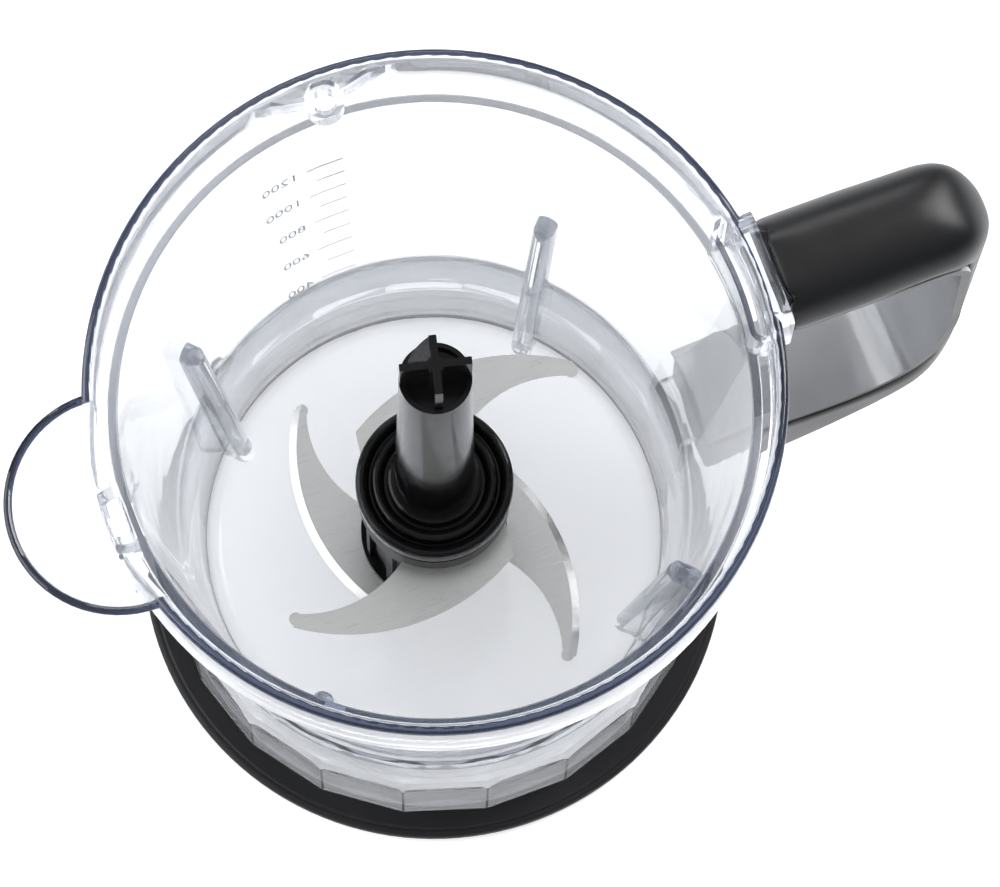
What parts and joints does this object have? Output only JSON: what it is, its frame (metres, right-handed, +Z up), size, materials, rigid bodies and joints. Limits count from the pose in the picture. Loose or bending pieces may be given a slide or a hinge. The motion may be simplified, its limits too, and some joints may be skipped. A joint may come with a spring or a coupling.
{
  "type": "food processor bowl with blade unit",
  "caption": "Clear processing bowl with pouring spout, closed black handle, non-slip base ring and a lift-out four-arm blade unit on a tapered drive shaft.",
  "frame": {"origin": "on the bowl and blade axis at the underside of the non-slip ring, where the bowl stands on the table", "axes": "+X towards the handle, -X towards the spout, +Y towards the lid interlock boss, +Z up along the blade axis"},
  "size_m": [0.2254, 0.152, 0.1862],
  "materials": {
    "clear_plastic": "clear gloss",
    "soft_ring": "satin",
    "grip_plastic": "satin",
    "hub_plastic": "gloss",
    "blade_steel": "brushed",
    "pin_steel": "ground",
    "bush_plastic": "moulded",
    "washer_plastic": "moulded"
  },
  "bodies": {
    "bowl_unit": {"bowl": "clear_plastic", "base_skirt": "clear_plastic", "spindle_pin": "pin_steel", "handle_grip": "grip_plastic", "handle_liner": "hub_plastic", "handle_screws": "pin_steel", "handle_screw_caps": "grip_plastic"},
    "ring": {"base_ring": "soft_ring"},
    "blade_carrier": {"thrust_washer": "washer_plastic"},
    "blade_unit": {"blade_shaft": "hub_plastic", "lower_bush": "bush_plastic", "upper_bush": "bush_plastic", "drive_coupling": "hub_plastic", "top_collar": "hub_plastic", "collar_seal": "soft_ring", "lower_collar": "hub_plastic", "upper_blade": "blade_steel", "hub_spacer": "hub_plastic", "lower_blade": "blade_steel", "hub_foot": "hub_plastic"}
  },
  "joints": [
    {"name": "ring_pull_off", "type": "slide", "parent": "ring", "child": "bowl_unit", "axis": [0, 0, 1], "range_m": [0, 0.03]},
    {"name": "blade_lift_out", "type": "slide", "parent": "bowl_unit", "child": "blade_carrier", "axis": [0, 0, 1], "range_m": [0, 0.16]},
    {"name": "blade_spin", "type": "hinge", "parent": "blade_carrier", "child": "blade_unit", "pos_m": [0, 0, 0.0185], "axis": [0, 0, 1], "continuous": true}
  ]
}
